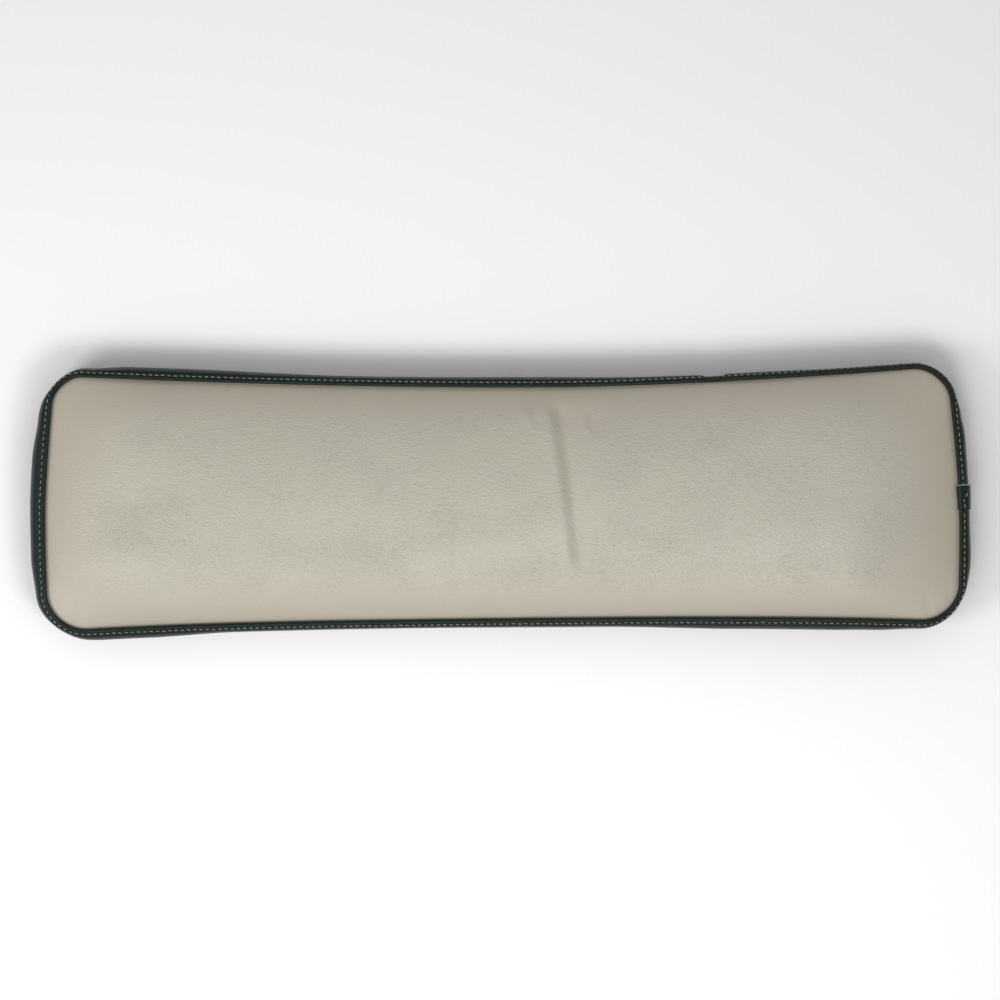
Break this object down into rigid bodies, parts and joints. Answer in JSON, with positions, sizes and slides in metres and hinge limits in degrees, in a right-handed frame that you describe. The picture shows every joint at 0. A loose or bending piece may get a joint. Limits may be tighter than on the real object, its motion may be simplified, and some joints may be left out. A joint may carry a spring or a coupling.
{
  "type": "back cushion",
  "caption": "Long bench-seat back cushion with a crowned coated-cloth face, drawn-in edges and a topstitched side band lapped at one end.",
  "frame": {"origin": "middle of the back panel's underside, in the plane that the cushion lies on", "axes": "+X along the cushion's length, towards the end with the band's lap; +Y across its width, towards its top edge in use; +Z out of the padded face"},
  "size_m": [0.9428, 0.2725, 0.0761],
  "materials": {
    "face_cloth": "matt grained coated cloth, pale stone",
    "band_cloth": "satin grained coated cloth, dark green",
    "back_cloth": "satin grained coated cloth, dark green"
  },
  "bodies": {
    "root": {"filled_face": "face_cloth", "side_band": "band_cloth", "band_lap_end": "band_cloth", "back_panel": "back_cloth"}
  },
  "joints": []
}
